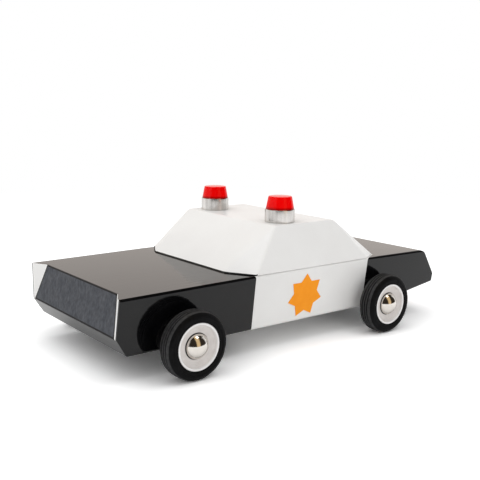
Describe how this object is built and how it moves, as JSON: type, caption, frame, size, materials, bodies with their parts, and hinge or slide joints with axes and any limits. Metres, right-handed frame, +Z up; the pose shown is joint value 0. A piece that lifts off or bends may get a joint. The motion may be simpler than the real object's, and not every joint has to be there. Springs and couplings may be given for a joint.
{
  "type": "toy police car",
  "caption": "Wooden push-along toy police car: painted block body with a glued faceted cabin, roof beacons, door stars and free-rolling rubber-tyred wheels on fixed steel axles.",
  "frame": {"origin": "on the ground, at the middle of the car's length and width", "axes": "+X towards the nose, +Y towards the car's left side, +Z up"},
  "size_m": [0.18, 0.1024, 0.0636],
  "materials": {
    "body_paint": "gloss black lacquer over wood, with white doors and nose corners and a slate grille",
    "cabin_paint": "semi-gloss white paint over wood",
    "dowel_wood": "bare beech",
    "tail_decal": "gloss red vinyl",
    "star_decal": "satin orange vinyl",
    "bright_metal": "polished nickel plate",
    "red_lens": "clear red plastic",
    "steel": "drawn steel",
    "spacer_plastic": "black nylon",
    "wheel_plastic": "satin white, turned rings in the dish",
    "tyre_rubber": "matte black rubber"
  },
  "bodies": {
    "car_body": {"lower_body": "body_paint", "cabin_block": "cabin_paint", "cabin_dowels": "dowel_wood", "tail_light_strip": "tail_decal", "left_door_star": "star_decal", "right_door_star": "star_decal", "left_beacon_base": "bright_metal", "right_beacon_base": "bright_metal", "left_beacon_lens": "red_lens", "right_beacon_lens": "red_lens", "beacon_screws": "steel", "front_axle": "steel", "rear_axle": "steel", "front_left_spacer": "spacer_plastic", "front_left_axle_cap": "bright_metal", "front_right_spacer": "spacer_plastic", "front_right_axle_cap": "bright_metal", "rear_left_spacer": "spacer_plastic", "rear_left_axle_cap": "bright_metal", "rear_right_spacer": "spacer_plastic", "rear_right_axle_cap": "bright_metal"},
    "wheel_front_left": {"front_left_wheel": "wheel_plastic", "front_left_tyre": "tyre_rubber"},
    "wheel_front_right": {"front_right_wheel": "wheel_plastic", "front_right_tyre": "tyre_rubber"},
    "wheel_rear_left": {"rear_left_wheel": "wheel_plastic", "rear_left_tyre": "tyre_rubber"},
    "wheel_rear_right": {"rear_right_wheel": "wheel_plastic", "rear_right_tyre": "tyre_rubber"}
  },
  "joints": [
    {"name": "front_left_spin", "type": "hinge", "parent": "car_body", "child": "wheel_front_left", "pos_m": [0.062, 0.0455, 0.0134], "axis": [0, 1, 0], "continuous": true},
    {"name": "front_right_spin", "type": "hinge", "parent": "car_body", "child": "wheel_front_right", "pos_m": [0.062, -0.0455, 0.0134], "axis": [0, 1, 0], "continuous": true},
    {"name": "rear_left_spin", "type": "hinge", "parent": "car_body", "child": "wheel_rear_left", "pos_m": [-0.0444, 0.0455, 0.0134], "axis": [0, 1, 0], "continuous": true},
    {"name": "rear_right_spin", "type": "hinge", "parent": "car_body", "child": "wheel_rear_right", "pos_m": [-0.0444, -0.0455, 0.0134], "axis": [0, 1, 0], "continuous": true}
  ]
}
